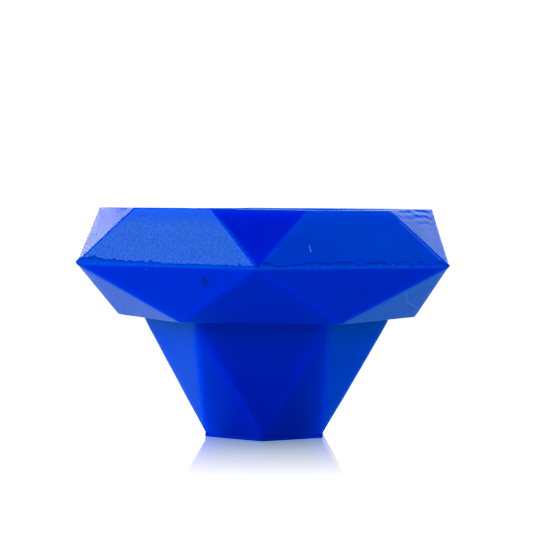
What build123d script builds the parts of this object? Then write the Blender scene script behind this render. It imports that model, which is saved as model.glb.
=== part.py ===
"""Gem-shaped silicone holder with a cube of cue chalk in its top.

Millimetres, +Z up. The origin is the centre of the sole's underside, and a corner of
the widest hexagon, the girdle, points to -Y.

The head is a faceted gem. Above the girdle, six trapezoids and six triangles close in
to a twelve-sided rim. Below it, twelve triangles close in to a flat shoulder. The foot
is a narrower six-sided taper of twelve triangles on a thin sole. The head is moulded in
two hollow halves that are bonded at the girdle, and the cube drops into a square pocket.
"""

import os
from math import cos, radians, sin

from build123d import *

# Outer shape of the holder
height = 38.0
girdle_z = 29.2
shoulder_z = 20.0
sole_thickness = 0.6
girdle_flats = 60.0
rim_flats = 55.2
shoulder_flats = 43.8
foot_top_flats = 36.8
foot_bottom_flats = 19.7

# Mouldings
skin = 2.4
top_plate = 2.4
shoulder_plate = 2.2
seam_height = 0.5
collar_wall = 2.0

# Chalk cube: a 7/8 inch cube with its paper label on
cube_side = 22.2
label_thickness = 0.1
label_margin = 2.5
cube_corner_radius = 1.3
chalk_edge = 0.4
recess = 1.0
dish_depth = 4.5
dish_radius = 7.0

# Pocket
pocket_floor_z = 15.5
pocket_gap = 0.35
rib_height = 0.3
rib_radius = 0.8
rib_offset = 5.0
mouth_chamfer = 0.6
scoop_radius = 10.0
scoop_offset = 13.5
scoop_depth = 6.5
scoop_wall = 2.2

# Pot magnet in the foot
magnet_cup_radius = 6.5
magnet_cup_height = 5.0
magnet_cup_wall = 1.2
magnet_gap = 0.05

FACET_ANGLES = [-90 + 30 * step for step in range(12)]
pocket_side = cube_side + 2 * pocket_gap
pocket_radius = cube_corner_radius + pocket_gap
seam_bottom_z = girdle_z - seam_height / 2
seam_top_z = girdle_z + seam_height / 2


def ring(flats, z, sides, first_corner=-90.0):
    """Corners of a level regular polygon of that width across its flats."""
    radius = flats / 2 / cos(radians(180 / sides))
    angles = [radians(first_corner + 360 / sides * i) for i in range(sides)]
    return [Vector(radius * cos(a), radius * sin(a), z) for a in angles]


def girdle_ring(inset=0.0):
    return ring(girdle_flats - 2 * inset, girdle_z, 6)


def shoulder_ring(z, inset=0.0):
    return ring(shoulder_flats - 2 * inset, z, 6, -60.0)


def rim_ring(z, inset=0.0):
    return ring(rim_flats - 2 * inset, z, 12, -75.0)


def outermost(corners, angle):
    """The one or two corners that lie furthest out at an angle, in order round the ring."""
    out = Vector(cos(radians(angle)), sin(radians(angle)), 0)
    along = Vector(-out.Y, out.X, 0)
    reach = max(corner.dot(out) for corner in corners)
    found = [corner for corner in corners if reach - corner.dot(out) < 1e-6]
    return sorted(found, key=lambda corner: corner.dot(along))


def faceted(lower, upper):
    """Closed solid between two level rings, with one flat facet at each 30 degrees."""
    loops = [lower, upper]
    for angle in FACET_ANGLES:
        loops.append(outermost(lower, angle) + outermost(upper, angle)[::-1])
    return Solid(Shell([Face(Wire.make_polygon(loop)) for loop in loops]))


def square_block(side, radius, low, high):
    """Upright square prism with round vertical corners, centred on the axis."""
    outline = Plane.XY.offset(low) * RectangleRounded(side, side, radius)
    return extrude(outline, high - low)


def disc(radius, low, high):
    return Pos(0, 0, low) * Cylinder(radius, high - low, align=(Align.CENTER, Align.CENTER, Align.MIN))


def above(shape, z):
    return split(shape, bisect_by=Plane.XY.offset(z), keep=Keep.TOP)


def below(shape, z):
    return split(shape, bisect_by=Plane.XY.offset(z), keep=Keep.BOTTOM)


def scoops(radius):
    """The two balls that shape the finger scoops beside the pocket."""
    centre_z = height - scoop_depth + scoop_radius
    return [Pos(x, 0, centre_z) * Sphere(radius) for x in (-scoop_offset, scoop_offset)]


def grip_ribs(low, high):
    """Half-round upright ribs, two on each pocket wall, that grip the cube."""
    centre = pocket_side / 2 + rib_radius - rib_height
    places = [(centre, y) for y in (-rib_offset, rib_offset)]
    rib = disc(rib_radius, low, high)
    return [Rot(0, 0, 90 * turn) * Pos(x, y, 0) * rib for turn in range(4) for x, y in places]


def mouth_cutter():
    """Tapered block that breaks the sharp edge of the pocket's mouth."""
    wide = pocket_side + 2 * mouth_chamfer
    low = Plane.XY.offset(height - mouth_chamfer) * RectangleRounded(pocket_side, pocket_side, pocket_radius)
    high = Plane.XY.offset(height) * RectangleRounded(wide, wide, pocket_radius + mouth_chamfer)
    return loft([low, high], ruled=True)


def crown_outside():
    return faceted(girdle_ring(), rim_ring(height))


def pavilion_outside():
    return faceted(shoulder_ring(shoulder_z), girdle_ring())


def make_crown_shell():
    """Upper half: faceted skin, flat top, and the square collar that guides the cube."""
    collar_side = pocket_side + 2 * collar_wall
    collar_low = shoulder_z + shoulder_plate
    collar = square_block(collar_side, pocket_radius + collar_wall, collar_low, height - top_plate)
    hollow = faceted(girdle_ring(skin), rim_ring(height - top_plate, skin)) - collar
    for ball in scoops(scoop_radius + scoop_wall):
        hollow -= ball
    shell = above(crown_outside() - hollow, seam_top_z) + collar
    shell -= square_block(pocket_side, pocket_radius, collar_low, height)
    shell -= mouth_cutter()
    shell += grip_ribs(collar_low, height - 2 * mouth_chamfer)
    for ball in scoops(scoop_radius):
        shell -= ball
    return shell


def make_base_shell():
    """Lower half: faceted skin, shoulder, and the solid foot with the end of the pocket."""
    foot_bottom = ring(foot_bottom_flats, sole_thickness, 6)
    foot_top = ring(foot_top_flats, shoulder_z, 6, -60.0)
    hollow = faceted(shoulder_ring(shoulder_z + shoulder_plate, skin), girdle_ring(skin))
    shell = below(pavilion_outside() - hollow, seam_bottom_z) + faceted(foot_bottom, foot_top)
    pocket_top = shoulder_z + shoulder_plate
    shell -= square_block(pocket_side, pocket_radius, pocket_floor_z, pocket_top)
    shell += grip_ribs(pocket_floor_z, pocket_top)
    seat_top = sole_thickness + magnet_cup_height + magnet_gap
    shell -= disc(magnet_cup_radius + magnet_gap, sole_thickness, seat_top)
    return shell


def make_seam_ring():
    """Bead of cured adhesive between the two halves. Its edge is the girdle."""
    head = crown_outside() + pavilion_outside()
    band = below(above(head, seam_bottom_z), seam_top_z)
    inside = RegularPolygon(girdle_flats / 2 - skin, 6, major_radius=False, rotation=30)
    return band - extrude(Plane.XY.offset(seam_bottom_z) * inside, seam_height)


def make_sole_pad():
    outline = RegularPolygon(foot_bottom_flats / 2, 6, major_radius=False, rotation=30)
    return extrude(outline, sole_thickness)


def make_magnet_cup():
    """Steel cup, open downward, that turns the magnet's pull to the sole."""
    cup = disc(magnet_cup_radius, sole_thickness, sole_thickness + magnet_cup_height)
    inner_radius = magnet_cup_radius - magnet_cup_wall
    return cup - disc(inner_radius, sole_thickness, sole_thickness + magnet_cup_height - magnet_cup_wall)


def make_magnet_disc():
    radius = magnet_cup_radius - magnet_cup_wall - magnet_gap
    top = sole_thickness + magnet_cup_height - magnet_cup_wall
    return disc(radius, sole_thickness + magnet_gap, top - magnet_gap)


def make_chalk_block():
    """Pressed chalk with broken edges and a round dish worn by the cue tip."""
    side = cube_side - 2 * label_thickness
    top = height - recess
    block = square_block(side, cube_corner_radius - label_thickness, pocket_floor_z + label_thickness, top)
    block = chamfer(block.edges().group_by(Axis.Z)[-1], chalk_edge)
    return block - Pos(0, 0, top - dish_depth + dish_radius) * Sphere(dish_radius)


def make_chalk_label():
    """Paper wrapped round the four sides and folded under the cube."""
    side = cube_side - 2 * label_thickness
    top = height - recess - label_margin
    paper = square_block(cube_side, cube_corner_radius, pocket_floor_z, top)
    inner_radius = cube_corner_radius - label_thickness
    return paper - square_block(side, inner_radius, pocket_floor_z + label_thickness, top)


NODES = {
    "crown_shell": make_crown_shell,
    "base_shell": make_base_shell,
    "seam_ring": make_seam_ring,
    "sole_pad": make_sole_pad,
    "magnet_cup": make_magnet_cup,
    "magnet_disc": make_magnet_disc,
    "chalk_block": make_chalk_block,
    "chalk_label": make_chalk_label,
}

os.makedirs("parts", exist_ok=True)
for node, make in NODES.items():
    shape = make()
    print(node, "volume", round(shape.volume, 1))
    export_step(shape, f"parts/{node}.step")
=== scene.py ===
"""Looks of the gem-shaped silicone chalk holder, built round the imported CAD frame.

Metres, in the frame's own axes: +Z up, the sole's underside at z = 0, and a corner of the
widest hexagon, the girdle, towards -Y, where the camera stands.
"""

import math
import random

import bmesh
import bpy
import numpy as np
from mathutils import Matrix, Vector, noise


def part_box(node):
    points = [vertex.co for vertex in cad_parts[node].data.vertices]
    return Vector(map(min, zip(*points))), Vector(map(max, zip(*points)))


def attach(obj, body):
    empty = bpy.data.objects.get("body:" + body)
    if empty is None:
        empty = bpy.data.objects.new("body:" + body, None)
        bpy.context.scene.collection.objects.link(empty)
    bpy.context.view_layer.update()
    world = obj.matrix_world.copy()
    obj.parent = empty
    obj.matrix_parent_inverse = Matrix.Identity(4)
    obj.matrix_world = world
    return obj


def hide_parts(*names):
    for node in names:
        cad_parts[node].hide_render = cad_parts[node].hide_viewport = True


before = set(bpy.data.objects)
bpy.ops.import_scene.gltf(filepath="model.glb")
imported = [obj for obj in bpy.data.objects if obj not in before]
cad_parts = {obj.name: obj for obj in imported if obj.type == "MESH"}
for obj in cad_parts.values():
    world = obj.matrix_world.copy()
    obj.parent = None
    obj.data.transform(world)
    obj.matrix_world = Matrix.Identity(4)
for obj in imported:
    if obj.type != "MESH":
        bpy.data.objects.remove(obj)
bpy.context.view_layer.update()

MM = 0.001
HAIR = 1e-7

# Sizes read from the frame
_, CROWN_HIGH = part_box("crown_shell")
SEAM_LOW, SEAM_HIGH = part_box("seam_ring")
SOLE_LOW, SOLE_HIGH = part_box("sole_pad")
_, CUP_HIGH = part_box("magnet_cup")
CHALK_LOW, CHALK_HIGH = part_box("chalk_block")
LABEL_LOW, LABEL_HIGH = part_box("chalk_label")
HEIGHT = CROWN_HIGH.z
GIRDLE_Z = (SEAM_LOW.z + SEAM_HIGH.z) / 2
GIRDLE_FLATS = SEAM_HIGH.x - SEAM_LOW.x
FOOT_BOTTOM_FLATS = SOLE_HIGH.x - SOLE_LOW.x

# The rest of the holder's outer shape, with the sides and the first corner of two of its rings
SHOULDER_Z = 20.0 * MM
RIM_FLATS = 55.2 * MM
SHOULDER_FLATS = 43.8 * MM
FOOT_TOP_FLATS = 36.8 * MM
FLAT_TOP_FLATS = 51.0 * MM
TWELVE_SIDES = (12, -75.0)
TURNED_HEXAGON = (6, -60.0)
FACET_ANGLES = [-90 + 30 * step for step in range(12)]

# Unevenness of the mouldings
WAVE_HEIGHT = 0.012 * MM
WAVE_LENGTH = 7.0 * MM
WAVE_COUNT = 9

# Flow marks under the rim's right corner, with the strength and rate of their two wanderings
RIPPLE_HEIGHT = 0.045 * MM
RIPPLE_LENGTH = 1.0 * MM
RIPPLE_REACH = 1.8 * MM
RIPPLE_ANGLE = -28.0
RIPPLE_SPREAD = 12.0
RIPPLE_BEND, RIPPLE_BEND_RATE = 0.8, 23
RIPPLE_CURL, RIPPLE_CURL_RATE = 0.6, 61
RIPPLE_CURL_DEPTH = 0.5 * MM

# How high the casting's open face stands at its back and sides, each with the place where
# that rise starts and the length over which it comes in
BACK_LIFT = 0.30 * MM
BACK_RISE = (0.0, 12 * MM)
BACK_RISE_ACROSS = (-14 * MM, 10 * MM)
LEFT_LIFT = 0.17 * MM
LEFT_RISE = (2 * MM, 8 * MM)
RIGHT_LIFT = 0.25 * MM
RIGHT_RISE = (20 * MM, 7 * MM)

# Softness of the moulded edges: a larger value rounds more
CROWN_RIDGE = 0.06 * MM
PAVILION_RIDGE = 0.14 * MM
FOOT_RIDGE = 0.20 * MM
GIRDLE_EDGE = 0.04 * MM
RIM_EDGE = 0.04 * MM
FOOT_EDGE = 0.03 * MM

# Steps of the grids that cover the facets, the flat top's border, the shoulder and the foot's
# end, how far in that last one reaches, and the steps along each side of the sole
FACET_STEPS = 56
TOP_STEPS = 12
SHOULDER_STEPS = 10
FOOT_END_STEPS = 8
EDGE_CROWDING = 1.6
FOOT_END_SHARE = 0.9
SIDE_STEPS = 12

# Walls and hollows
SKIN = 2.4 * MM
TOP_PLATE = 2.4 * MM
SHOULDER_PLATE = 2.2 * MM
COLLAR_WALL = 2.0 * MM
OVERLAP = 0.1 * MM

# Pocket, its grip ribs and the finger scoops
POCKET_SIDE = 22.9 * MM
POCKET_RADIUS = 1.65 * MM
POCKET_FLOOR_Z = 15.5 * MM
MOUTH_ROUND = 0.6 * MM
RIB_HEIGHT = 0.3 * MM
RIB_RADIUS = 0.8 * MM
RIB_OFFSET = 5.0 * MM
SCOOP_RADIUS = 10.0 * MM
SCOOP_OFFSET = 13.5 * MM
SCOOP_DEPTH = 6.5 * MM
SCOOP_WALL = 2.2 * MM
SCOOP_ROUND = 0.5 * MM
MAGNET_GAP = 0.05 * MM

random.seed(21)
WAVES = [(np.array([random.uniform(-1, 1) for _ in range(3)]) * 2 * math.pi / WAVE_LENGTH,
          random.uniform(0, 2 * math.pi)) for _ in range(WAVE_COUNT)]


# ---------------------------------------------------------------- outer form

def ring(flats, z, sides, first_corner=-90.0):
    """Corners of a level regular polygon of that width across its flats."""
    radius = flats / 2 / math.cos(math.pi / sides)
    turns = [math.radians(first_corner + 360 / sides * i) for i in range(sides)]
    return np.array([[radius * math.cos(a), radius * math.sin(a), z] for a in turns])


def outermost(corners, angle):
    """The one or two corners that lie furthest out at an angle, in order round the ring."""
    out = np.array([math.cos(math.radians(angle)), math.sin(math.radians(angle)), 0])
    along = np.array([-out[1], out[0], 0])
    reach = corners @ out
    found = corners[reach.max() - reach < 1e-9]
    return found[np.argsort(found @ along)]


def facets(lower, upper, angles=FACET_ANGLES):
    """The lower and upper corners of each facet between two rings."""
    return [(outermost(lower, angle), outermost(upper, angle)) for angle in angles]


def planes(facet_list):
    """Outward normals and distances of the facets' planes."""
    normals = []
    for low, high in facet_list:
        wide = low if len(low) > 1 else high
        normal = np.cross(wide[1] - wide[0], high[0] - low[0])
        normals.append(normal / np.linalg.norm(normal))
    normals = np.array(normals)
    offsets = np.array([normal @ low[0] for normal, (low, _) in zip(normals, facet_list)])
    return normals, offsets


GIRDLE = ring(GIRDLE_FLATS, GIRDLE_Z, 6)
RIM = ring(RIM_FLATS, HEIGHT, *TWELVE_SIDES)
SHOULDER = ring(SHOULDER_FLATS, SHOULDER_Z, *TURNED_HEXAGON)
FOOT_TOP = ring(FOOT_TOP_FLATS, SHOULDER_Z, *TURNED_HEXAGON)
FOOT_BOTTOM = ring(FOOT_BOTTOM_FLATS, SOLE_HIGH.z, 6)
CROWN_FACETS = facets(GIRDLE, RIM)
PAVILION_FACETS = facets(SHOULDER, GIRDLE)
FOOT_FACETS = facets(FOOT_BOTTOM, FOOT_TOP)
CROWN_PLANES = planes(CROWN_FACETS)
PAVILION_PLANES = planes(PAVILION_FACETS)
FOOT_PLANES = planes(FOOT_FACETS)


def heights_over(plane_set, points):
    normals, offsets = plane_set
    return normals @ points.T - offsets[:, None]


def soft_max(values, softness):
    """Maximum over the first axis that turns smoothly from one value to the next."""
    top = values.max(axis=0)
    return top + softness * np.log(np.exp((values - top) / softness).sum(axis=0))


def waviness(points):
    """Slight unevenness of a soft moulding."""
    waves = [np.sin(points @ direction + phase) for direction, phase in WAVES]
    return WAVE_HEIGHT * sum(waves) / math.sqrt(len(WAVES))


def ripples(points):
    """Level flow marks under one corner of the rim."""
    turn = np.arctan2(points[:, 1], points[:, 0])
    beside = np.exp(-((np.degrees(turn) - RIPPLE_ANGLE) / RIPPLE_SPREAD) ** 2)
    below = HEIGHT - points[:, 2]
    unrest = RIPPLE_BEND * np.sin(turn * RIPPLE_BEND_RATE)
    unrest += RIPPLE_CURL * np.sin(turn * RIPPLE_CURL_RATE + below / RIPPLE_CURL_DEPTH)
    rows = np.sin(2 * math.pi * below / RIPPLE_LENGTH + unrest)
    return RIPPLE_HEIGHT * beside * np.exp(-(below / RIPPLE_REACH) ** 2) * rows


def come_in(distance, start, length):
    """0 up to the start, then rising evenly to 1 over the length."""
    return np.clip((distance - start) / length, 0, 1)


def top_lift(points):
    """How far the casting's open face stands over its level, except in the middle of its front."""
    across, back = points[:, 0], points[:, 1]
    lift = BACK_LIFT * come_in(back, *BACK_RISE) * come_in(across, *BACK_RISE_ACROSS)
    lift = np.maximum(lift, LEFT_LIFT * come_in(-across, *LEFT_RISE))
    lift = np.maximum(lift, RIGHT_LIFT * come_in(across, *RIGHT_RISE))
    near_top = come_in(points[:, 2], GIRDLE_Z, HEIGHT - GIRDLE_Z)
    return lift * near_top ** 3


def moulded_head(points):
    level = points - np.array([0, 0, 1]) * top_lift(points)[:, None]
    return head_depth(level) + waviness(points) + ripples(points)


def moulded_foot(points):
    return foot_depth(points) + waviness(points)


def head_depth(points):
    """Signed distance outside the head's rounded surface."""
    crown = soft_max(heights_over(CROWN_PLANES, points), CROWN_RIDGE)
    pavilion = soft_max(heights_over(PAVILION_PLANES, points), PAVILION_RIDGE)
    sides = soft_max(np.stack([crown, pavilion]), GIRDLE_EDGE)
    ends = [points[:, 2] - HEIGHT, SHOULDER_Z - points[:, 2]]
    return soft_max(np.stack([sides, *ends]), RIM_EDGE)


def foot_depth(points):
    sides = soft_max(heights_over(FOOT_PLANES, points), FOOT_RIDGE)
    return soft_max(np.stack([sides, SOLE_HIGH.z - points[:, 2]]), FOOT_EDGE)


def slope(depth, points, level):
    """Gradient of a depth, without its upright part where level is true."""
    step = 0.001 * MM
    parts = []
    for axis in np.eye(3):
        parts.append((depth(points + axis * step) - depth(points - axis * step)) / (2 * step))
    grad = np.stack(parts, axis=1)
    grad[level, 2] = 0
    return grad


def settle(points, depth, level=None):
    """Moves points onto the rounded surface, straight in from where they are."""
    level = np.zeros(len(points), bool) if level is None else level
    for _ in range(6):
        grad = slope(depth, points, level)
        points = points - grad * (depth(points) / (grad ** 2).sum(axis=1))[:, None]
    return points


def crowd(t):
    """Spreads 0 to 1 so that steps are closer together near both ends."""
    near, far = t ** EDGE_CROWDING, (1 - t) ** EDGE_CROWDING
    return near / (near + far)


def crowd_start(t):
    return t ** 2


class Skin:
    """Patches of points and faces that become one mesh."""

    def __init__(self):
        self.points = []
        self.faces = []

    def patch(self, low, high, rows, columns, spacing=crowd):
        """Grid over a facet of three or four corners, from its lower to its upper side."""
        grid = []
        for i in range(rows + 1):
            left = low[0] + (high[0] - low[0]) * spacing(i / rows)
            right = low[-1] + (high[-1] - low[-1]) * spacing(i / rows)
            count = columns
            if len(high) == 1:
                count = columns * (rows - i) // rows
            elif len(low) == 1:
                count = columns * i // rows
            grid.append(self.row(left, right, count))
        for below, above in zip(grid, grid[1:]):
            self.strip(below, above)

    def row(self, left, right, count):
        start = len(self.points)
        for j in range(count + 1):
            self.points.append(left + (right - left) * crowd(j / max(count, 1)))
        return list(range(start, start + count + 1))

    def strip(self, below, above):
        """Faces between two rows whose lengths differ by one at most."""
        long, short = (below, above) if len(below) > len(above) else (above, below)
        for j in range(len(short) - 1):
            if len(below) == len(above):
                self.faces.append((below[j], below[j + 1], above[j + 1], above[j]))
            else:
                self.faces.append((long[j], long[j + 1], short[j]))
                self.faces.append((long[j + 1], short[j + 1], short[j]))
        if len(below) != len(above):
            self.faces.append((long[-2], long[-1], short[-1]))


def outer_skin():
    """The whole outside of the holder above the sole, with every moulded edge rounded."""
    skin = Skin()
    for low, high in CROWN_FACETS + PAVILION_FACETS + FOOT_FACETS:
        skin.patch(low, high, FACET_STEPS, FACET_STEPS)
    foot_end = FOOT_BOTTOM * [FOOT_END_SHARE, FOOT_END_SHARE, 1]
    borders = [
        (facets(RIM, ring(FLAT_TOP_FLATS, HEIGHT, *TWELVE_SIDES)), TOP_STEPS),
        (facets(SHOULDER, FOOT_TOP, range(-90, 270, 60)), SHOULDER_STEPS),
        (facets(FOOT_BOTTOM, foot_end, range(-60, 300, 60)), FOOT_END_STEPS),
    ]
    for strips, steps in borders:
        for low, high in strips:
            skin.patch(low, high, steps, FACET_STEPS, crowd_start)
    points = np.array(skin.points)
    inside_foot = heights_over(FOOT_PLANES, points).max(axis=0) < HAIR
    in_foot = inside_foot & (points[:, 2] < SHOULDER_Z + HAIR)
    stays_level = in_foot & (points[:, 2] > SOLE_HIGH.z + 2 * MM)
    foot = settle(points, moulded_foot, stays_level)
    points = np.where(in_foot[:, None], foot, settle(points, moulded_head))
    return points, skin.faces


# ---------------------------------------------------------------- mesh tools

def new_object(name, data):
    obj = bpy.data.objects.new(name, data)
    bpy.context.scene.collection.objects.link(obj)
    return obj


def to_object(name, bm):
    bmesh.ops.recalc_face_normals(bm, faces=bm.faces)
    mesh = bpy.data.meshes.new(name)
    bm.to_mesh(mesh)
    bm.free()
    return new_object(name, mesh)


def from_points(points, faces):
    """Mesh of those points and faces, joined where they meet and closed where they end."""
    bm = bmesh.new()
    for point in points:
        bm.verts.new(point)
    bm.verts.ensure_lookup_table()
    for face in faces:
        bm.faces.new([bm.verts[i] for i in face])
    bmesh.ops.remove_doubles(bm, verts=bm.verts, dist=0.002 * MM)
    close_holes(bm)
    return bm


def close_holes(bm):
    rims = [edge for edge in bm.edges if edge.is_boundary]
    bmesh.ops.holes_fill(bm, edges=rims, sides=0)


def keep_side(bm, z, above):
    """Cuts a closed mesh level at z and closes the side that is kept."""
    geometry = [*bm.verts, *bm.edges, *bm.faces]
    bmesh.ops.bisect_plane(bm, geom=geometry, dist=HAIR, plane_co=(0, 0, z), plane_no=(0, 0, 1),
                           clear_inner=above, clear_outer=not above)
    close_holes(bm)


def loft(loops, ring_shaped=False):
    """Closed mesh through loops of equal length. A ring-shaped one has no ends."""
    bm = bmesh.new()
    rows = [[bm.verts.new(point) for point in loop] for loop in loops]
    count = len(rows[0])
    pairs = list(zip(rows, rows[1:]))
    if ring_shaped:
        pairs.append((rows[-1], rows[0]))
    for first, second in pairs:
        for i in range(count):
            j = (i + 1) % count
            bm.faces.new((first[i], first[j], second[j], second[i]))
    if not ring_shaped:
        bm.faces.new(rows[0])
        bm.faces.new(rows[-1])
    return bm


def combine(obj, tool, operation):
    """Applies a Boolean of two closed meshes to the first and removes the second."""
    modifier = obj.modifiers.new("combine", "BOOLEAN")
    modifier.operation = operation
    modifier.solver = "MANIFOLD"
    modifier.object = tool
    before = len(obj.data.vertices)
    bpy.context.view_layer.update()
    evaluated = obj.evaluated_get(bpy.context.evaluated_depsgraph_get())
    mesh = bpy.data.meshes.new_from_object(evaluated)
    if len(mesh.vertices) == before:
        raise RuntimeError(f"{obj.name} and {tool.name} didn't combine")
    obj.modifiers.clear()
    obj.data = mesh
    bpy.data.objects.remove(tool)


def smooth(obj, sharp_angle=35):
    obj.data.shade_smooth()
    obj.data.set_sharp_from_angle(angle=math.radians(sharp_angle))


def circle(radius, z, count=96, centre=(0, 0)):
    turns = [2 * math.pi * i / count for i in range(count)]
    return [(centre[0] + radius * math.cos(a), centre[1] + radius * math.sin(a), z) for a in turns]


def arc(centre, radius, start, end, count):
    """Points of an arc in a plane, with angles in degrees."""
    turns = [math.radians(start + (end - start) * i / count) for i in range(count + 1)]
    return [(centre[0] + radius * math.cos(a), centre[1] + radius * math.sin(a)) for a in turns]


def turned_square(quarter):
    """A quarter of an outline, turned to make the whole."""
    outline = []
    for turn in range(4):
        c, s = ((1, 0), (0, 1), (-1, 0), (0, -1))[turn]
        outline += [(x * c - y * s, x * s + y * c) for x, y in quarter]
    return outline


def pocket_loop(z, rib=1, flare=0):
    """The pocket's outline at a level, with two half-round ribs standing into it from each side.

    The ribs stand out by that share of their height, and the flare widens the whole outline.
    """
    half = POCKET_SIDE / 2 + flare
    radius = POCKET_RADIUS + flare
    reach = math.degrees(math.acos((RIB_RADIUS - RIB_HEIGHT) / RIB_RADIUS))
    quarter = []
    for offset in (-RIB_OFFSET, RIB_OFFSET):
        for x, y in arc((0, 0), RIB_RADIUS, 180 + reach, 180 - reach, 6):
            inward = (-x - (RIB_RADIUS - RIB_HEIGHT)) * rib
            quarter.append((half - inward, offset + y))
    quarter += arc((half - radius, half - radius), radius, 0, 90, 8)
    return at_height(turned_square(quarter), z)


def at_height(outline, z):
    return [(x, y, z) for x, y in outline]


def hollow_between(name, lower, upper):
    """Convex solid between two rings, for the space inside a shell."""
    bm = bmesh.new()
    for point in [*lower, *upper]:
        bm.verts.new(point)
    bmesh.ops.convex_hull(bm, input=bm.verts)
    return to_object(name, bm)


def inset_ring(flats, z, sides, first_corner=-90.0):
    return ring(flats - 2 * SKIN, z, sides, first_corner)


def collar_block(wall, low, high):
    return to_object("collar", loft([pocket_loop(z, 0, wall) for z in (low, high)]))


def scoop_centre(side):
    return (side * SCOOP_OFFSET, 0), HEIGHT - SCOOP_DEPTH + SCOOP_RADIUS


def ball(side, radius):
    """Ball round a finger scoop's centre."""
    centre, z = scoop_centre(side)
    profile = arc((0, z), radius, -88, 88, 48)
    return to_object("ball", loft([circle(r, h, 96, centre) for r, h in profile]))


def scoop_tool(side):
    """Cutter for a finger scoop whose mouth rolls over into the flat top."""
    centre, z = scoop_centre(side)
    roll_z = HEIGHT - SCOOP_ROUND
    roll_r = math.sqrt((SCOOP_RADIUS + SCOOP_ROUND) ** 2 - (z - roll_z) ** 2)
    meet = math.degrees(math.atan2(roll_z - z, roll_r))
    profile = arc((0, z), SCOOP_RADIUS, -89, meet, 40)
    profile += arc((roll_r, roll_z), SCOOP_ROUND, 180 + meet, 100, 6)[1:]
    profile.append((roll_r, HEIGHT + SCOOP_ROUND))
    return to_object("scoop", loft([circle(r, h, 120, centre) for r, h in profile]))


def pocket_tool(low, high, mouth):
    """Cutter for the pocket, with grooves that leave the grip ribs standing."""
    loops = [pocket_loop(low)]
    if mouth:
        rib_z = high - 2 * MOUTH_ROUND - RIB_RADIUS
        loops.append(pocket_loop(rib_z))
        for out, z in arc((0, rib_z), RIB_RADIUS, 30, 90, 3):
            loops.append(pocket_loop(z, out / RIB_RADIUS))
        for back, z in arc((0, high - MOUTH_ROUND), MOUTH_ROUND, 0, 80, 5):
            loops.append(pocket_loop(z, 0, MOUTH_ROUND - back))
        loops.append(pocket_loop(high + MOUTH_ROUND, 0, MOUTH_ROUND - back))
    else:
        loops.append(pocket_loop(high))
    return to_object("pocket", loft(loops))


# ---------------------------------------------------------------- holder pieces

def make_crown(points, faces):
    bm = from_points(points, faces)
    keep_side(bm, SEAM_HIGH.z, above=True)
    crown = to_object("crown", bm)
    hollow = hollow_between("hollow", inset_ring(GIRDLE_FLATS, GIRDLE_Z, 6),
                            inset_ring(RIM_FLATS, HEIGHT - TOP_PLATE, *TWELVE_SIDES))
    combine(hollow, collar_block(COLLAR_WALL - OVERLAP, SHOULDER_Z, HEIGHT), "DIFFERENCE")
    for side in (-1, 1):
        combine(hollow, ball(side, SCOOP_RADIUS + SCOOP_WALL), "DIFFERENCE")
    combine(crown, hollow, "DIFFERENCE")
    collar_low = SHOULDER_Z + SHOULDER_PLATE
    combine(crown, collar_block(COLLAR_WALL, collar_low, HEIGHT - TOP_PLATE / 2), "UNION")
    combine(crown, pocket_tool(collar_low - MM, HEIGHT, mouth=True), "DIFFERENCE")
    for side in (-1, 1):
        combine(crown, scoop_tool(side), "DIFFERENCE")
    smooth(crown)
    return crown


def make_base(points, faces):
    bm = from_points(points, faces)
    keep_side(bm, SEAM_LOW.z, above=False)
    base = to_object("base", bm)
    floor_z = SHOULDER_Z + SHOULDER_PLATE
    hollow = hollow_between("hollow", inset_ring(SHOULDER_FLATS, floor_z, *TURNED_HEXAGON),
                            inset_ring(GIRDLE_FLATS, GIRDLE_Z, 6))
    combine(base, hollow, "DIFFERENCE")
    combine(base, pocket_tool(POCKET_FLOOR_Z, floor_z + MM, mouth=False), "DIFFERENCE")
    seat = CUP_HIGH.x + MAGNET_GAP
    seat_loops = [circle(seat, SOLE_LOW.z), circle(seat, CUP_HIGH.z + MAGNET_GAP)]
    combine(base, to_object("seat", loft(seat_loops)), "DIFFERENCE")
    smooth(base)
    return base


# Painted light along the moulded ridges and under the rim, and painted shade under the shoulder where
# the head overhangs the foot
RIDGE_LIGHT_REACH = 0.40 * MM
FOOT_RIDGE_LIGHT = 1.2
RIM_LIGHT_REACH = 1.2 * MM
RIM_LIGHT = 1.6
SHADE = 1.3
SHADE_REACH = 2.5 * MM
SKIN_DEPTH = 0.5 * MM


def paint_light_and_shade(piece):
    """Stores painted light and shade: lighter by a moulded ridge and under the rim, darker under the
    shoulder."""
    mesh = piece.data
    points = np.empty(len(mesh.vertices) * 3)
    mesh.vertices.foreach_get("co", points)
    points = points.reshape(-1, 3)
    head = np.concatenate([heights_over(CROWN_PLANES, points), heights_over(PAVILION_PLANES, points),
                           [points[:, 2] - HEIGHT]])
    foot = heights_over(FOOT_PLANES, points)
    closeness = [np.diff(np.sort(heights, axis=0)[-2:], axis=0)[0] for heights in (head, foot)]
    outside = np.abs(head.max(axis=0)) < SKIN_DEPTH
    in_foot = (points[:, 2] < SHOULDER_Z - 0.01 * MM) & (np.abs(foot.max(axis=0)) < SKIN_DEPTH)
    gap = np.where(in_foot, closeness[1], closeness[0])
    # Painted highlight along the moulded ridges, stronger on the foot
    light_and_shade = np.exp(-gap / RIDGE_LIGHT_REACH) * np.where(in_foot, FOOT_RIDGE_LIGHT, outside)
    # Painted light under the rim
    under_rim = np.exp(-np.abs(HEIGHT - points[:, 2]) / RIM_LIGHT_REACH)
    light_and_shade = np.maximum(light_and_shade, RIM_LIGHT * under_rim * outside)
    # Painted shade under the shoulder, where the head overhangs the foot
    light_and_shade -= SHADE * in_foot * np.exp(-(SHOULDER_Z - points[:, 2]) / SHADE_REACH)
    attribute = mesh.attributes.new("light_and_shade", "FLOAT", "POINT")
    attribute.data.foreach_set("value", light_and_shade.astype(np.float32))


# ---------------------------------------------------------------- seam bead and sole

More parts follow.
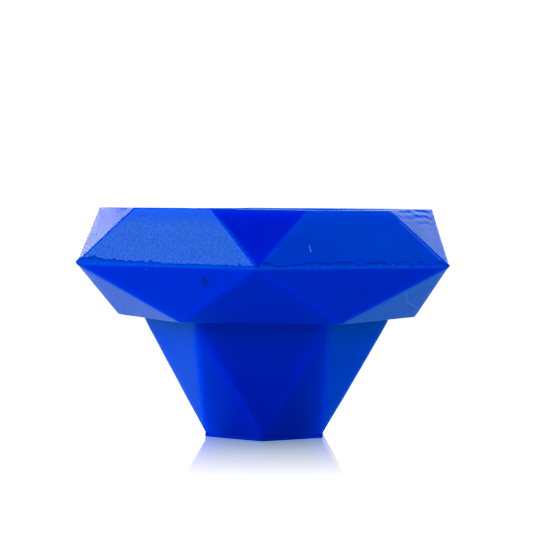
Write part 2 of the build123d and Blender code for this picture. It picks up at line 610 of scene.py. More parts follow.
# Bead of adhesive squeezed out along the girdle
BEAD_LEG = 2.35 * MM
BEAD_STEPS = 480
BEAD_FILM = 0.03 * MM
BEAD_RIM = 0.045 * MM
BEAD_CORNER = 0.06 * MM
BEAD_CORNER_REACH = 0.9 * MM
BEAD_SINK = 0.06 * MM
BEAD_DROP = 0.10 * MM
BEAD_LEAST = 0.27

# Lobes of adhesive on the side from the front corner to the one at its right:
# millimetres along that side, half width, height above the girdle
FRONT_LOBES = [(1.8, 1.3, 0.95), (8.0, 2.4, 0.62), (10.4, 3.0, 0.86), (15.2, 2.3, 0.94),
               (17.6, 1.0, 0.45), (21.1, 2.1, 0.86), (24.2, 0.45, 0.60), (26.2, 1.25, 0.88),
               (29.4, 0.75, 0.90), (32.7, 0.9, 0.88)]
# Upper edge of the bead on the side at its left: millimetres from the left corner, height
LEFT_EDGE = [(0, 0.65), (1.2, 0.95), (3.0, 1.15), (4.2, 1.05), (5.7, 0.78), (9.2, 0.68), (12.0, 0.56),
             (15.0, 0.58), (16.7, 0.52), (17.3, 0.27), (18.4, 0.36), (26.5, 0.34), (34.7, 0.27)]


def bead_heights():
    """Height of the bead's upper edge over the girdle, side by side, in millimetres."""
    heights = []
    for side in range(6):
        along = np.array([crowd(j / BEAD_STEPS) for j in range(BEAD_STEPS)]) * side_length() / MM
        if side == 0:
            heights.append(lobed(along, FRONT_LOBES))
        elif side == 5:
            places, levels = zip(*LEFT_EDGE)
            heights.append(np.interp(along, places, levels) + ragged(along, 5, 0.36))
        else:
            heights.append(lobed(along, random_lobes()) + ragged(along, side, 0.03))
    return np.maximum(np.concatenate(heights), BEAD_LEAST - 0.01)


def side_length():
    return GIRDLE_FLATS / math.sqrt(3)


def random_lobes():
    length = side_length() / MM
    count = random.randint(3, 6)
    return [(random.uniform(1, length - 1), random.uniform(0.6, 4), random.uniform(0.4, 0.8))
            for _ in range(count)]


def lobed(along, lobes):
    height = np.full(len(along), BEAD_LEAST)
    for centre, half, top in lobes:
        reach = np.clip(1 - ((along - centre) / half) ** 2, 0, None)
        height = np.maximum(height, BEAD_LEAST + (top - BEAD_LEAST) * reach ** 0.35)
    return height


def ragged(along, seed, size):
    rough = [noise.noise((x / 0.8, seed, 0)) + 0.5 * noise.noise((x / 0.36, seed, 5)) for x in along]
    return size * np.clip(rough, -0.9, 1)


def girdle_line():
    """Points along the sharp girdle, crowded to its corners."""
    steps = [crowd(j / BEAD_STEPS) for j in range(BEAD_STEPS)]
    line = []
    for start, end in zip(GIRDLE, np.roll(GIRDLE, -1, axis=0)):
        line += [start + (end - start) * t for t in steps]
    return np.array(line)


# Thickness of the bead up its height, as shares of the height and of the rim's thickness
BEAD_SWELL = [(0.10, 0.9), (0.22, 0.6), (0.38, 0.4), (0.55, 0.4), (0.70, 0.6), (0.82, 1.0),
              (0.90, 1.2), (0.96, 1.0)]


def bead_profile(heights):
    """Rows of the bead's section: how far each stands off the mouldings, and its level."""
    low, high = SEAM_LOW.z, SEAM_HIGH.z
    top = GIRDLE_Z + heights * MM
    rows = [
        (-BEAD_LEG, low),
        (-BEAD_SINK, low),
        (-BEAD_SINK, low - BEAD_DROP * 0.9),
        (0.4 * BEAD_FILM, low - BEAD_DROP),
        (BEAD_FILM, low - BEAD_DROP * 0.5),
        (BEAD_FILM, low + 0.1 * MM),
        (BEAD_FILM, GIRDLE_Z - 0.02 * MM),
    ]
    rows += [(BEAD_RIM * thick, GIRDLE_Z + (top - GIRDLE_Z) * share) for share, thick in BEAD_SWELL]
    return rows + [(0.0, top), (-BEAD_SINK, top - 0.02 * MM), (-BEAD_SINK, high), (-BEAD_LEG, high)]


# Painted light and shade of each row of the bead: light along the girdle, dark at the spread edge
BEAD_SHADING_ROWS = [(0, 0.40), (3, 0.40), (4, 0.5), (6, 0.95), (7, 0.80), (8, 0.52), (10, 0.42), (12, 0.18),
             (14, 0.05), (15, 0.0), (18, 0.5)]
BUBBLE_ALONG = 24.2 * MM
BUBBLE_RISE = 0.30 * MM


def bubble_centre():
    """Where a bubble sits in the bead on the side to the right of the front corner."""
    along = BUBBLE_ALONG / side_length()
    centre = Vector(GIRDLE[0]).lerp(Vector(GIRDLE[1]), along)
    return centre * (1 - 0.05 * MM / centre.length) + Vector((0, 0, BUBBLE_RISE))


def make_bead():
    line = girdle_line()
    flat = np.ones(len(line), bool)
    loops = []
    to_corner = np.abs(line[:, None] - GIRDLE[None]).max(axis=2).min(axis=1)
    blob = BEAD_CORNER * np.exp(-(to_corner / BEAD_CORNER_REACH) ** 2)
    for stand_off, z in bead_profile(bead_heights()):
        points = line.copy()
        points[:, 2] = z
        stand_off = stand_off + blob * (stand_off > 0)
        points = settle(points, lambda p, d=stand_off: moulded_head(p) - d, flat)
        loops.append([tuple(point) for point in points])
    bead = to_object("seam_bead", loft(loops, ring_shaped=True))
    smooth(bead, 60)
    # Painted light and shade, row by row
    bead_shading = bead.data.attributes.new("bead_shading", "FLOAT", "POINT")
    shares = np.interp(range(len(loops)), *zip(*BEAD_SHADING_ROWS))
    bead_shading.data.foreach_set("value", np.repeat(shares, len(line)).astype(np.float32))
    return bead


def soft_hexagon(flats, corner, z):
    """Outline of a hexagon with rounded corners."""
    outline = []
    for i in range(6):
        middle = -90 + 60 * i
        reach = (flats / 2 - corner) / math.cos(math.pi / 6)
        centre = (reach * math.cos(math.radians(middle)), reach * math.sin(math.radians(middle)))
        outline += arc(centre, corner, middle - 30, middle + 30, 8)
        turn = math.radians(middle + 30)
        start = outline[-1]
        run = flats / math.sqrt(3) - 2 * corner * math.tan(math.pi / 6)
        way = (-math.sin(turn) * run, math.cos(turn) * run)
        shares = [k / SIDE_STEPS for k in range(1, SIDE_STEPS)]
        outline += [(start[0] + way[0] * share, start[1] + way[1] * share) for share in shares]
    return at_height(outline, z)


# Rows of the sole's outside, with the line where its two layers meet: how far each lies in
# from the widest, and its level, in millimetres
SOLE_CORNER = 0.5 * MM
SOLE_ROWS = [(1.6, 0.06), (1.3, 0.05), (1.2, 0.0), (0.25, 0.0), (0.08, 0.02), (0.02, 0.08),
             (0.0, 0.16), (0.0, 0.28), (0.03, 0.31), (0.03, 0.33), (0.0, 0.36), (0.0, 0.50),
             (0.01, 0.57), (0.04, 0.60)]


def make_sole():
    """Thin hexagonal pad with soft edges."""
    loops = []
    for inset, level in SOLE_ROWS:
        z = min(level * MM, SOLE_HIGH.z)
        loops.append(soft_hexagon(FOOT_BOTTOM_FLATS - 2 * inset * MM, SOLE_CORNER, z))
    sole = to_object("sole", loft(loops))
    smooth(sole)
    return sole


# ---------------------------------------------------------------- chalk and its label

CHALK_CORNER = 1.2 * MM
CHALK_EDGE = 0.5 * MM
DISH_RADIUS = 7.0 * MM
DISH_DEPTH = 4.5 * MM
DISH_LIP = 0.25 * MM
HALF_CHALK = CHALK_HIGH.x

# Wear of the chalk
PIT_DEPTH = 0.03 * MM
PIT_SIZE = 0.5 * MM
CRUMB_DEPTH = 0.7 * MM
CRUMB_SIZE = 1.4 * MM
CRUMB_REACH = 0.5 * MM
CRUMB_DROP = 0.7 * MM
GROOVE_DEPTH = 0.05 * MM
GROOVE_PITCH = 0.45 * MM

# Paper label, the unevenness of its cut, and its fold under the cube: millimetres in from its
# side and up from its lowest level
PAPER = 0.1 * MM
CUT_DEPTH = 0.12 * MM
CUT_SIZE = 2.5 * MM
LABEL_FOLD = [(8, 0), (0.4, 0), (0.1, 0.04), (0, 0.15)]


def rounded_square(side, radius, steps=36):
    """Even outline of a rounded square, as an array of points."""
    corner = side / 2 - radius
    quarter = [(side / 2, -corner + 2 * corner * j / steps) for j in range(steps)]
    quarter += arc((corner, corner), radius, 0, 90, 10)[:-1]
    return np.array(turned_square(quarter))


def at_level(outline, level):
    """Points of an outline at one level, or each at its own."""
    return np.column_stack([outline, np.full(len(outline), level)])


def grain(points, size, seed):
    """Soft noise at that size, from -1 to 1."""
    return np.array([noise.noise(Vector(point) / size + Vector((seed, 0, 0))) for point in points])


def chalk_loops():
    side = CHALK_HIGH.x - CHALK_LOW.x
    body = rounded_square(side, CHALK_CORNER)
    loops = []
    for level in np.linspace(CHALK_LOW.z, CHALK_HIGH.z - CHALK_EDGE, 26):
        loops.append(at_level(body, level))
    for turn in np.linspace(0, 90, 6)[1:]:
        back = CHALK_EDGE * (1 - math.cos(math.radians(turn)))
        level = CHALK_HIGH.z - CHALK_EDGE * (1 - math.sin(math.radians(turn)))
        outline = rounded_square(side - 2 * back, max(CHALK_CORNER - back, 0.3 * MM))
        loops.append(at_level(outline, level))
    edge = loops[-1][:, :2]
    around = np.arctan2(edge[:, 1], edge[:, 0])
    for share in np.linspace(0, 1, 16)[1:]:
        rim = np.column_stack([np.cos(around), np.sin(around)]) * DISH_RADIUS
        outline = edge + (rim - edge) * share
        dip = DISH_LIP * share ** 6
        loops.append(at_level(outline, CHALK_HIGH.z - dip))
    for share in np.linspace(1, 0.02, 22)[1:]:
        depth = DISH_LIP + (DISH_DEPTH - DISH_LIP) * (1 - share ** 2.2)
        loops.append(at_level(rim * share, CHALK_HIGH.z - depth))
    return loops


def wear_chalk(points):
    """Powdery pits, crumbled top edges, and grooves left by a turning tip, all inwards."""
    radius = np.hypot(points[:, 0], points[:, 1])
    at_top = points[:, 2] > CHALK_HIGH.z - 3 * MM
    in_dish = (radius < DISH_RADIUS) & (points[:, 2] > CHALK_LOW.z + MM)
    pits = PIT_DEPTH * (1 + grain(points, PIT_SIZE, 3))
    crumbs = CRUMB_DEPTH * np.clip(grain(points, CRUMB_SIZE, 9) - 0.1, 0, 1)
    near_edge = np.exp(-((HALF_CHALK - np.abs(points[:, :2]).max(axis=1)) / CRUMB_REACH) ** 2)
    inward = points * [1, 1, 0] / np.maximum(radius, 1e-6)[:, None]
    high = np.exp(-((CHALK_HIGH.z - points[:, 2]) / CRUMB_DROP) ** 2)
    loss = (pits + crumbs * near_edge * high) * at_top * ~in_dish
    turns = radius / GROOVE_PITCH * 2 * math.pi + 2 * grain(points, 3 * MM, 1)
    grooves = GROOVE_DEPTH * (1 + np.sin(turns))
    worn = points - inward * (loss * near_edge)[:, None]
    worn[:, 2] -= loss + (grooves + pits) * in_dish
    return worn


def make_chalk():
    loops = chalk_loops()
    worn = [wear_chalk(loop) for loop in loops[1:]]
    chalk = to_object("chalk_cube", loft([loop.tolist() for loop in [loops[0], *worn]]))
    smooth(chalk, 50)
    return chalk


def make_label():
    """Paper strip round the sides and under the cube, with an uneven cut at its top."""
    outer_side = LABEL_HIGH.x - LABEL_LOW.x
    inner_side = outer_side - 2 * PAPER
    corner = CHALK_CORNER + PAPER
    low, high = LABEL_LOW.z, LABEL_HIGH.z
    around = rounded_square(outer_side, corner)
    cut = CUT_DEPTH * (1 + grain(at_level(around, 0), CUT_SIZE, 4))
    rows = [(outer_side - inset * MM, low + rise * MM) for inset, rise in LABEL_FOLD]
    rows += [(outer_side, low + (high - low) * share) for share in np.linspace(0.05, 0.95, 12)]
    rows += [(outer_side, high - cut), (inner_side, high - cut)]
    loops = [at_level(rounded_square(side, corner), level) for side, level in rows]
    for side in (inner_side, rows[0][0]):
        loops.append(at_level(rounded_square(side, CHALK_CORNER), low + PAPER))
    label = to_object("chalk_wrap", loft([loop.tolist() for loop in loops], ring_shaped=True))
    smooth(label)
    return label


# ---------------------------------------------------------------- materials

def fill(tree, target, value):
    """Links an input to a socket, or sets it to a plain value."""
    if isinstance(value, bpy.types.NodeSocket):
        tree.links.new(value, target)
    else:
        target.default_value = value


def add_node(tree, kind, inputs, **settings):
    """New shader node, its inputs given by name or place."""
    made = tree.nodes.new("ShaderNode" + kind)
    for name, setting in settings.items():
        setattr(made, name, setting)
    for key, value in inputs.items():
        fill(tree, made.inputs[key], value)
    return made


class Look:
    """A material with a Principled shader and short ways to add nodes to it."""

    def __init__(self, material, **shader_values):
        material.use_nodes = True
        self.tree = material.node_tree
        self.tree.nodes.clear()
        values = {name.replace("_", " "): value for name, value in shader_values.items()}
        self.shader = add_node(self.tree, "BsdfPrincipled", values)
        self.output = add_node(self.tree, "OutputMaterial", {"Surface": self.shader.outputs[0]})
        self.place = self.add("TexCoord", {}).outputs["Object"]

    def add(self, kind, inputs, **settings):
        return add_node(self.tree, kind, inputs, **settings)

    def math(self, operation, first, second=0.0):
        return self.add("Math", {0: first, 1: second}, operation=operation).outputs[0]

    def vector(self, operation, first, second=(0, 0, 0)):
        made = self.add("VectorMath", {0: first, 1: second}, operation=operation)
        return made.outputs["Value"] if operation in ("LENGTH", "DOT_PRODUCT") else made.outputs[0]

    def scale(self, vector, factor):
        return self.add("VectorMath", {0: vector, "Scale": factor}, operation="SCALE").outputs[0]

    def distance(self, point):
        return self.vector("LENGTH", self.vector("SUBTRACT", self.place, tuple(point)))

    def noise(self, size, detail=3.0, place=None):
        inputs = {"Scale": 1 / size, "Detail": detail, "Vector": place or self.place}
        return self.add("TexNoise", inputs).outputs["Fac"]

    def cells(self, size, output="Distance"):
        return self.add("TexVoronoi", {"Scale": 1 / size, "Vector": self.place}).outputs[output]

    def spread(self, value, low, high, to_low=0.0, to_high=1.0):
        inputs = {"Value": value, "From Min": low, "From Max": high, "To Min": to_low, "To Max": to_high}
        return self.add("MapRange", inputs, interpolation_type="SMOOTHSTEP").outputs[0]

    def mix(self, factor, first, second):
        made = self.add("Mix", {"Factor": factor}, data_type="RGBA")
        colours = [socket for socket in made.inputs if socket.type == "RGBA"]
        for value, socket in zip((first, second), colours):
            fill(self.tree, socket, (*value, 1) if isinstance(value, tuple) else value)
        return next(socket for socket in made.outputs if socket.type == "RGBA")

    def attribute(self, name):
        return self.add("Attribute", {}, attribute_name=name).outputs["Fac"]

    def grazing(self, start, end):
        """0 on a surface seen more steeply than start, rising to 1 where it is seen edge on."""
        return self.spread(self.add("LayerWeight", {}).outputs["Facing"], start, end)

    def axis(self, index):
        return self.add("SeparateXYZ", {0: self.place}).outputs[index]

    def bump(self, height, distance, below=None):
        inputs = {"Height": height, "Distance": distance}
        if below:
            inputs["Normal"] = below
        return self.add("Bump", inputs).outputs[0]

    def near_line(self, start, end, width):
        """1 on the straight line between two points in millimetres, fading to 0 at the width."""
        a = Vector(start) * MM
        b = Vector(end) * MM
        along = (b - a).normalized()
        offset = self.vector("SUBTRACT", self.place, tuple(a))
        reach = self.vector("DOT_PRODUCT", offset, tuple(along))
        middle = self.math("MINIMUM", self.math("MAXIMUM", reach, 0.0), (b - a).length)
        foot = self.scale(tuple(along), middle)
        distance = self.vector("LENGTH", self.vector("SUBTRACT", offset, foot))
        return self.spread(distance, 0, width, 1, 0)

    def finish(self, colour, roughness=None, normal=None):
        for name, value in (("Base Color", colour), ("Roughness", roughness), ("Normal", normal)):
            if value is not None:
                fill(self.tree, self.shader.inputs[name], value)


SILICONE_BLUE = (0.0, 0.0125, 0.70)
SOLE_BLUE = (0.0, 0.014, 0.66)
SILICONE_GLOSS = {"Specular_IOR_Level": 0.20, "IOR": 1.43, "Specular_Tint": (0.8, 1, 1, 1)}
BEAD_GLOSS = {**SILICONE_GLOSS, "Specular_IOR_Level": 0.05, "Roughness": 0.26}
DUST = (0.10, 0.20, 0.75)
SPECK_SPACING = 0.8 * MM
# How strongly the painted light and shade change the silicone's tone, and its lightest tone
LIGHT_AND_SHADE_SHARE = 0.28
LIGHTEST_TONE = 1.38

# Painted light right under the rim, and painted sheen on one facet and where the surface is seen edge on
RIM_HIGHLIGHT_BLUE = (0.0, 0.035, 0.98)
RIM_HIGHLIGHT_SHARE = 0.9
SHEEN_COLOUR = (0.55, 0.62, 0.85)
SHEEN_SHARE = 0.115
SHEEN_GRAIN = 0.24 * MM
SHEENED_FACET = 11
GRAZING_SHEEN = 0.30

# Fibre and fine scratches, each from one point to another in millimetres
FIBRE = ((7.8, -29.05, 32.6), (8.1, -29.2, 31.6))
FIBRE_COLOUR = (0.40, 0.45, 0.60)
MARKS = [((23.0, -18.0, 25.1), (23.5, -11.9, 23.2)),
         ((23.5, -11.9, 23.2), (25.3, -5.2, 21.9)),
         ((23.5, -11.9, 23.2), (22.1, -9.9, 21.6)),
         ((-17.5, -24.2, 28.8), (-18.0, -23.8, 28.4)),
         ((21.90, -19.77, 36.26), (28.58, -17.84, 30.14))]
MARK_WIDTH = 0.10 * MM
MARK_SHARE = 0.35

# Dark stain: its middle in millimetres, its core and reach, and how dark it is
STAIN = (-8.3, -28.5, 26.9)
STAIN_CORE = 0.2 * MM
STAIN_REACH = 1.3 * MM
STAIN_TONE = 0.62

# Bead's painted dark and light, and the bubble's painted highlight
BEAD_DARK = (0.0, 0.012, 0.50)
BEAD_LIGHT = (0.0, 0.085, 0.98)
BUBBLE_HIGHLIGHT = (0.04, 0.26, 0.95)


def facet_sheen(look):
    """Share of pale grain painted on the left front facet as sheen on its rougher surface, fading in
    streaks under the rim.
    """
    normal, offset = CROWN_PLANES[0][SHEENED_FACET], CROWN_PLANES[1][SHEENED_FACET]
    above = look.math("SUBTRACT", look.vector("DOT_PRODUCT", look.place, tuple(normal)), offset)
    on_facet = look.spread(look.math("ABSOLUTE", above), 0.12 * MM, 0.30 * MM, 1, 0)
    fine = look.spread(look.noise(SHEEN_GRAIN, 4.0), 0.30, 0.70)
    streaked = look.noise(0.5 * MM, 2.0, place=look.vector("MULTIPLY", look.place, (0.3, 0.3, 1.6)))
    level = look.math("ADD", look.axis(2), look.math("MULTIPLY", streaked, 3 * MM))
    kept = look.spread(level, HEIGHT - 1.2 * MM, HEIGHT + 0.8 * MM, 1, 0.1)
    amount = look.math("MULTIPLY", look.math("MULTIPLY", on_facet, kept), fine)
    return look.math("MULTIPLY", amount, SHEEN_SHARE)


def toned(look, tone):
    """A tone made lighter and darker by the painted light and shade stored on the piece, and darker in
    the stain.
    """
    light_and_shade = look.math("MULTIPLY", look.attribute("light_and_shade"), LIGHT_AND_SHADE_SHARE)
    tone = look.math("MINIMUM", look.math("MULTIPLY", tone, look.math("ADD", light_and_shade, 1.0)), LIGHTEST_TONE)
    stain = look.spread(look.distance(Vector(STAIN) * MM), STAIN_CORE, STAIN_REACH, STAIN_TONE, 1.0)
    return look.math("MULTIPLY", tone, stain)


def painted_sheen_and_rim_light(look, blue):
    """Painted light: lighter blue under the rim, and painted sheen as pale grain on one facet and where
    the surface is seen edge on.
    """
    # Painted light: lighter blue under the rim
    under_rim = look.spread(look.attribute("light_and_shade"), 0.8, RIM_LIGHT, 0, RIM_HIGHLIGHT_SHARE)
    # Painted sheen: pale grain on the crown's left front facet
    blue = look.mix(facet_sheen(look), look.mix(under_rim, blue, RIM_HIGHLIGHT_BLUE), SHEEN_COLOUR)
    # Painted sheen: paler where the surface is seen edge on
    dust_and_sheen = look.math("MULTIPLY", look.grazing(0.97, 0.995), GRAZING_SHEEN)
    return look.mix(dust_and_sheen, blue, SHEEN_COLOUR)


def pale_lines(look):
    """1 on the fibre, less on the fine scratches and 0 off them."""
    pale = look.near_line(*FIBRE, MARK_WIDTH)
    for start, end in MARKS:
        mark = look.math("MULTIPLY", look.near_line(start, end, MARK_WIDTH), MARK_SHARE)
        pale = look.math("MAXIMUM", pale, mark)
    return pale


def silicone_look(material, colour, roughness, with_marks_and_painted_light=True):
    """Matt cast silicone with specks of dust and, if asked, the real holder's marks and painted light,
    shade and sheen.
    """
    look = Look(material, **SILICONE_GLOSS)
    grainy = look.noise(0.35 * MM)
    tone = look.spread(look.noise(4 * MM, 4.0), 0.3, 0.7, 0.97, 1.03)
    tone = look.math("MULTIPLY", tone, look.spread(grainy, 0.25, 0.75, 0.96, 1.04))
    # Painted light and shade stored on the piece, and the stain, when asked
    blue = look.scale(colour, toned(look, tone) if with_marks_and_painted_light else tone)
    if with_marks_and_painted_light:
        blue = painted_sheen_and_rim_light(look, blue)
    spot = look.spread(look.cells(SPECK_SPACING), 0.05, 0.10, 1, 0)
    rare = look.spread(look.cells(SPECK_SPACING, "Color"), 0.55, 0.60, 0, 0.5)
    blue = look.mix(look.math("MULTIPLY", spot, rare), blue, DUST)
    if with_marks_and_painted_light:
        blue = look.mix(pale_lines(look), blue, FIBRE_COLOUR)
    rough = look.spread(grainy, 0.2, 0.8, roughness - 0.04, roughness + 0.04)
    fine = look.bump(look.noise(0.42 * MM), 0.020 * MM)
    look.finish(blue, rough, look.bump(look.noise(1.6 * MM, 2.0), 0.010 * MM, below=fine))


def bead_look(material):
    """Satin adhesive with painted light along the girdle and painted shade at its spread edge, and one
    bubble drawn as a painted highlight in a painted dark ring.
    """
    look = Look(material, **BEAD_GLOSS)
    unevenness = look.spread(look.noise(0.5 * MM), 0.3, 0.7, -0.15, 0.15)
    # Painted light and shade of the bead, from its stored rows
    tone = look.math("ADD", look.attribute("bead_shading"), unevenness)
    reach = look.distance(bubble_centre())
    colour = look.mix(tone, BEAD_DARK, BEAD_LIGHT)
    # Painted shade: a dark ring round the bubble, with a painted highlight in its middle
    colour = look.mix(look.spread(reach, 0.26 * MM, 0.36 * MM, 1, 0), colour, BEAD_DARK)
    colour = look.mix(look.spread(reach, 0.10 * MM, 0.22 * MM, 1, 0), colour, BUBBLE_HIGHLIGHT)
    look.finish(colour, None, look.bump(look.noise(0.4 * MM), 0.01 * MM))


def chalk_look(material):
    look = Look(material, Specular_IOR_Level=0.1)
    powder = look.noise(0.25 * MM, 5.0)
    patches = look.noise(3 * MM, 4.0)
    colour = look.mix(look.spread(powder, 0.35, 0.7), (0.035, 0.15, 0.42), (0.09, 0.28, 0.60))
    colour = look.mix(look.spread(patches, 0.45, 0.75), colour, (0.05, 0.19, 0.47))
    holes = look.spread(look.cells(0.9 * MM), 0.05, 0.22)
    height = look.math("ADD", powder, look.math("MULTIPLY", holes, 0.6))
    look.finish(colour, 0.95, look.bump(height, 0.06 * MM))


def paper_look(material):
    """Pale printed paper with plain bands, dusty with chalk."""
    look = Look(material, Specular_IOR_Level=0.3)
    height = look.axis(2)
    fibres = look.noise(0.15 * MM, 4.0)
    colour = look.mix(fibres, (0.62, 0.60, 0.55), (0.80, 0.78, 0.73))
    span = LABEL_HIGH.z - LABEL_LOW.z
    for share, half in ((0.90, 0.035), (0.83, 0.010), (0.12, 0.035), (0.19, 0.010)):
        level = LABEL_LOW.z + share * span
        away = look.math("ABSOLUTE", look.math("SUBTRACT", height, level))
        edge = look.math("ADD", away, look.math("MULTIPLY", fibres, 0.06 * MM))
        band = look.spread(edge, half * span, half * span + 0.08 * MM, 1, 0)
        colour = look.mix(band, colour, (0.02, 0.09, 0.32))
    dust_and_sheen = look.spread(look.noise(2.5 * MM, 4.0), 0.5, 0.8, 0, 0.5)
    colour = look.mix(dust_and_sheen, colour, (0.10, 0.28, 0.58))
    look.finish(colour, 0.75, look.bump(fibres, 0.02 * MM))


def metal_look(material, colour, roughness, brush):
    look = Look(material, Metallic=1.0)
    stretched = look.vector("MULTIPLY", look.place, brush)
    streaks = look.noise(0.4 * MM, 4.0, place=stretched)
    spots = look.noise(1.5 * MM, 4.0)
    dull = tuple(channel * 0.72 for channel in colour)
    blend = look.mix(look.spread(spots, 0.45, 0.75), colour, dull)
    rough = look.spread(streaks, 0.3, 0.7, roughness - 0.06, roughness + 0.08)
    look.finish(blend, rough, look.bump(streaks, 0.01 * MM))


def slot_material(name):
    """The material that the frame's CAD nodes already carry under that name."""
    return bpy.data.materials.get(name) or bpy.data.materials.new(name)


# ---------------------------------------------------------------- scene

# Camera fitted to the photo: its place in millimetres before it turns about the object's
# upright axis, and its angles in degrees
CAMERA_LENS = 124.1
CAMERA_PLACE = (0.01, -311.4, 38.62)
CAMERA_TURN = 2.49
CAMERA_TILT = -1.89
CAMERA_ROLL = 0.44

# Soft lights: azimuth, elevation and brightness. One is seen only in reflections.
SOFTBOX_SIDE = 0.35
SOFTBOX_DISTANCE = 0.8
SOFTBOXES = {
    "left_side": (-160, 22, 8.5),
    "left_front": (-140, 22, 3.4),
    "right_high": (-20, 42, 6.8),
    "right_low": (-20, 22, 2.3),
    "left_back": (120, 5, 5.0),
    "left_sheen": (122, 8, 6.1),
    "right_back": (60, 22, 3.7),
    "back": (90, 5, 1.5),
}
GLOSS_ONLY = "left_sheen"

# Camera's weak red, and the room
RED_TOE = [(0.04, 0.0), (0.10, 0.022), (0.20, 0.118), (0.40, 0.335)]
ROOM_LIGHT = 0.01
ROOM_WHITE = 1.15

# Floor: its polish, and the light it sends to the object from each side, by distance
FLOOR_WHITE = 1.05
FLOOR_GREY = (0.1, 0.1, 0.1, 1)
POLISH_SPAN = 60 * MM
POLISH = [(0.18, 0.75), (0.37, 0.55), (0.66, 0.27), (0.85, 0.09), (1.0, 0.0)]
SPILL_SPAN = 600 * MM
SPILL_LEFT = [(0.045, 0.92), (0.055, 0.92), (0.080, 0.92), (0.10, 0.63), (0.13, 0.63), (0.14, 1.10),
              (0.41, 1.12), (0.43, 0.0)]
SPILL_RIGHT = [(0.045, 0.60), (0.055, 0.57), (0.13, 0.57), (0.14, 1.06), (0.41, 1.06), (0.43, 0.0)]
SPILL_FRONT = [(0.045, 0.22), (0.055, 0.60), (0.13, 0.60), (0.14, 1.05), (0.41, 1.05), (0.43, 0.0)]


def make_camera():
    data = bpy.data.cameras.new("camera")
    data.lens = CAMERA_LENS
    camera = new_object("camera", data)
    camera.matrix_world = (
        Matrix.Rotation(math.radians(CAMERA_TURN), 4, "Z")
        @ Matrix.Translation([part * MM for part in CAMERA_PLACE])
        @ Matrix.Rotation(math.radians(90 + CAMERA_TILT), 4, "X")
        @ Matrix.Rotation(math.radians(CAMERA_ROLL), 4, "Z")
    )
    bpy.context.scene.camera = camera


def softbox(name, azimuth, elevation, brightness):
    """Square soft light that faces the girdle's centre."""
    data = bpy.data.lights.new(name, "AREA")
    data.shape = "SQUARE"
    data.size = SOFTBOX_SIDE
    data.energy = brightness * math.pi * SOFTBOX_SIDE ** 2
    light = new_object(name, data)
    a, e = math.radians(azimuth), math.radians(elevation)
    direction = Vector((math.cos(a) * math.cos(e), math.sin(a) * math.cos(e), math.sin(e)))
    light.location = Vector((0, 0, GIRDLE_Z)) + direction * SOFTBOX_DISTANCE
    light.rotation_euler = direction.to_track_quat("Z", "Y").to_euler()
    light.visible_camera = False
    light.visible_diffuse = name != GLOSS_ONLY


def set_film():
    """Plain view, with a camera's weak response to the small share of red in a strong blue."""
    view = bpy.context.scene.view_settings
    view.view_transform = "Standard"
    view.use_curve_mapping = True
    red = view.curve_mapping.curves[0]
    for place, level in RED_TOE:
        red.points.new(place, level)
    for point in red.points:
        point.handle_type = "VECTOR"
    view.curve_mapping.update()


def make_world():
    """Room that looks white but lights the object only a little."""
    world = bpy.data.worlds.new("studio")
    bpy.context.scene.world = world
    world.use_nodes = True
    tree = world.node_tree
    dim = tree.nodes["Background"]
    dim.inputs["Color"].default_value = (1, 1, 1, 1)
    dim.inputs["Strength"].default_value = ROOM_LIGHT
    white = add_node(tree, "Background", {"Color": (1, 1, 1, 1), "Strength": ROOM_WHITE})
    path = add_node(tree, "LightPath", {}).outputs
    rays = {0: path["Is Camera Ray"], 1: path["Is Singular Ray"]}
    seen = add_node(tree, "Math", rays, operation="MAXIMUM")
    mix = add_node(tree, "MixShader", {0: seen.outputs[0], 1: dim.outputs[0], 2: white.outputs[0]})
    tree.links.new(mix.outputs[0], tree.nodes["World Output"].inputs["Surface"])


def ramp(look, value, stops):
    """Levels that follow a value from stop to stop."""
    made = look.add("ValToRGB", {0: value})
    elements = made.color_ramp.elements
    while len(elements) < len(stops):
        elements.new(0.5)
    for element, (position, level) in zip(elements, stops):
        element.position = position
        element.color = (level, level, level, 1)
    return made.outputs[0]


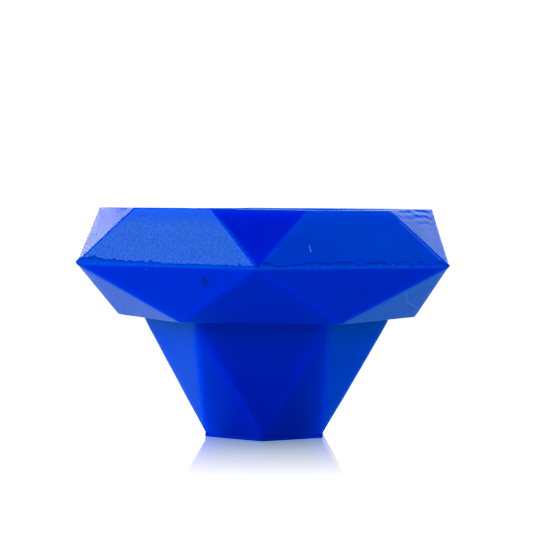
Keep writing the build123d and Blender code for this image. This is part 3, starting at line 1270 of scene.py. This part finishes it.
def floor_material():
    """White, softly lit floor whose polish shows the foot's reflection close to it."""
    material = bpy.data.materials.new("floor")
    look = Look(material)
    to_camera = look.add("LightPath", {}).outputs["Is Camera Ray"]
    radius = look.vector("LENGTH", look.vector("MULTIPLY", look.place, (1, 1, 0)))
    polish = ramp(look, look.math("DIVIDE", radius, POLISH_SPAN), POLISH)
    polish = look.math("MULTIPLY", polish, to_camera)
    reach = look.math("DIVIDE", radius, SPILL_SPAN)
    spills = [ramp(look, reach, stops) for stops in (SPILL_FRONT, SPILL_LEFT, SPILL_RIGHT)]
    in_front, at_left, at_right = spills
    sideways = look.math("DIVIDE", look.axis(0), radius)
    backwards = look.math("DIVIDE", look.axis(1), radius)
    spill = look.mix(look.spread(sideways, -0.7, 0.7), at_left, at_right)
    spill = look.mix(look.spread(backwards, -0.85, -0.55), in_front, spill)
    light_and_shade = look.mix(to_camera, spill, (FLOOR_WHITE,) * 3)
    lit = look.add("Emission", {"Color": light_and_shade}).outputs[0]
    matt = look.add("BsdfDiffuse", {"Color": FLOOR_GREY}).outputs[0]
    mirror = look.add("BsdfAnisotropic", {"Color": (1, 1, 1, 1), "Roughness": 0.0}).outputs[0]
    both = look.add("AddShader", {0: lit, 1: matt}).outputs[0]
    mixed = look.add("MixShader", {0: polish, 1: both, 2: mirror}).outputs[0]
    look.tree.links.new(mixed, look.output.inputs["Surface"])
    look.tree.nodes.remove(look.shader)
    return material


def dress(piece, node, body, slot_name):
    """Gives a piece its one material, hangs it on its body and hides the CAD node it stands for."""
    mesh = piece.data
    mesh.materials.clear()
    mesh.materials.append(slot_material(slot_name))
    mesh.polygons.foreach_set("material_index", [0] * len(mesh.polygons))
    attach(piece, body)
    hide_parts(node)


make_camera()
POINTS, FACES = outer_skin()
crown = make_crown(POINTS, FACES)
base = make_base(POINTS, FACES)
for shell in (crown, base):
    paint_light_and_shade(shell)
dress(crown, "crown_shell", "holder", "holder_silicone")
dress(base, "base_shell", "holder", "holder_silicone")
dress(make_bead(), "seam_ring", "holder", "seam_adhesive")
dress(make_sole(), "sole_pad", "holder", "sole_silicone")
dress(make_chalk(), "chalk_block", "chalk", "chalk")
dress(make_label(), "chalk_label", "chalk", "label_paper")

silicone_look(slot_material("holder_silicone"), SILICONE_BLUE, 0.31)
bead_look(slot_material("seam_adhesive"))
silicone_look(slot_material("sole_silicone"), SOLE_BLUE, 0.38, with_marks_and_painted_light=False)
chalk_look(slot_material("chalk"))
paper_look(slot_material("label_paper"))
metal_look(slot_material("cup_steel"), (0.60, 0.61, 0.63), 0.34, (1, 1, 12))
metal_look(slot_material("magnet_nickel"), (0.68, 0.65, 0.60), 0.22, (14, 1, 1))

make_world()
for name, setting in SOFTBOXES.items():
    softbox(name, *setting)
set_film()

floor = to_object("floor", loft([circle(3.0, -0.2 * MM, 128), circle(3.0, 0, 128)]))
floor.data.materials.append(floor_material())
